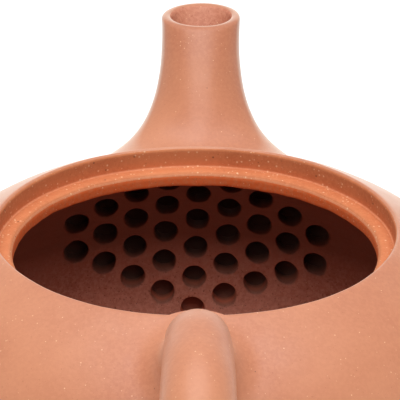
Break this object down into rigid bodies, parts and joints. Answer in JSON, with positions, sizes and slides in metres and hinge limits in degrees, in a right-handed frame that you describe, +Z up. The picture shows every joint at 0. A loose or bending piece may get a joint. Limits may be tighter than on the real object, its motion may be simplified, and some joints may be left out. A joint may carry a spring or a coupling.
{
  "type": "teapot",
  "caption": "Small round unglazed clay teapot with an open recessed mouth, a pierced strainer wall, a straight spout and an ear handle, its loose domed lid standing beside it.",
  "frame": {"origin": "centre of the foot's flat underside, on the pot's turning axis", "axes": "+Z up through the mouth, +Y towards the spout, -Y towards the handle, +X towards the lid that stands beside the pot"},
  "size_m": [0.1658, 0.16, 0.0661],
  "materials": {
    "clay_body": "unglazed red clay, smoothed and lightly burnished, with fine pale sand specks",
    "clay_ledge": "unglazed red clay, turned smooth where lid and ledge meet",
    "clay_foot": "unglazed red clay, dry and matt"
  },
  "bodies": {
    "pot": {"foot_disc": "clay_foot", "base_plate": "clay_foot", "belly_wall": "clay_body", "shoulder_slab": "clay_body", "mouth_ring": "clay_body", "lid_seat": "clay_ledge", "spout": "clay_body", "handle": "clay_body"},
    "lid": {"lid_disc": "clay_body", "lid_flange": "clay_ledge", "lid_knob": "clay_body"}
  },
  "joints": [
    {"name": "lid_lift", "type": "slide", "parent": "pot", "child": "lid", "axis": [0, 0, 1], "range_m": [0, 0.09]}
  ]
}
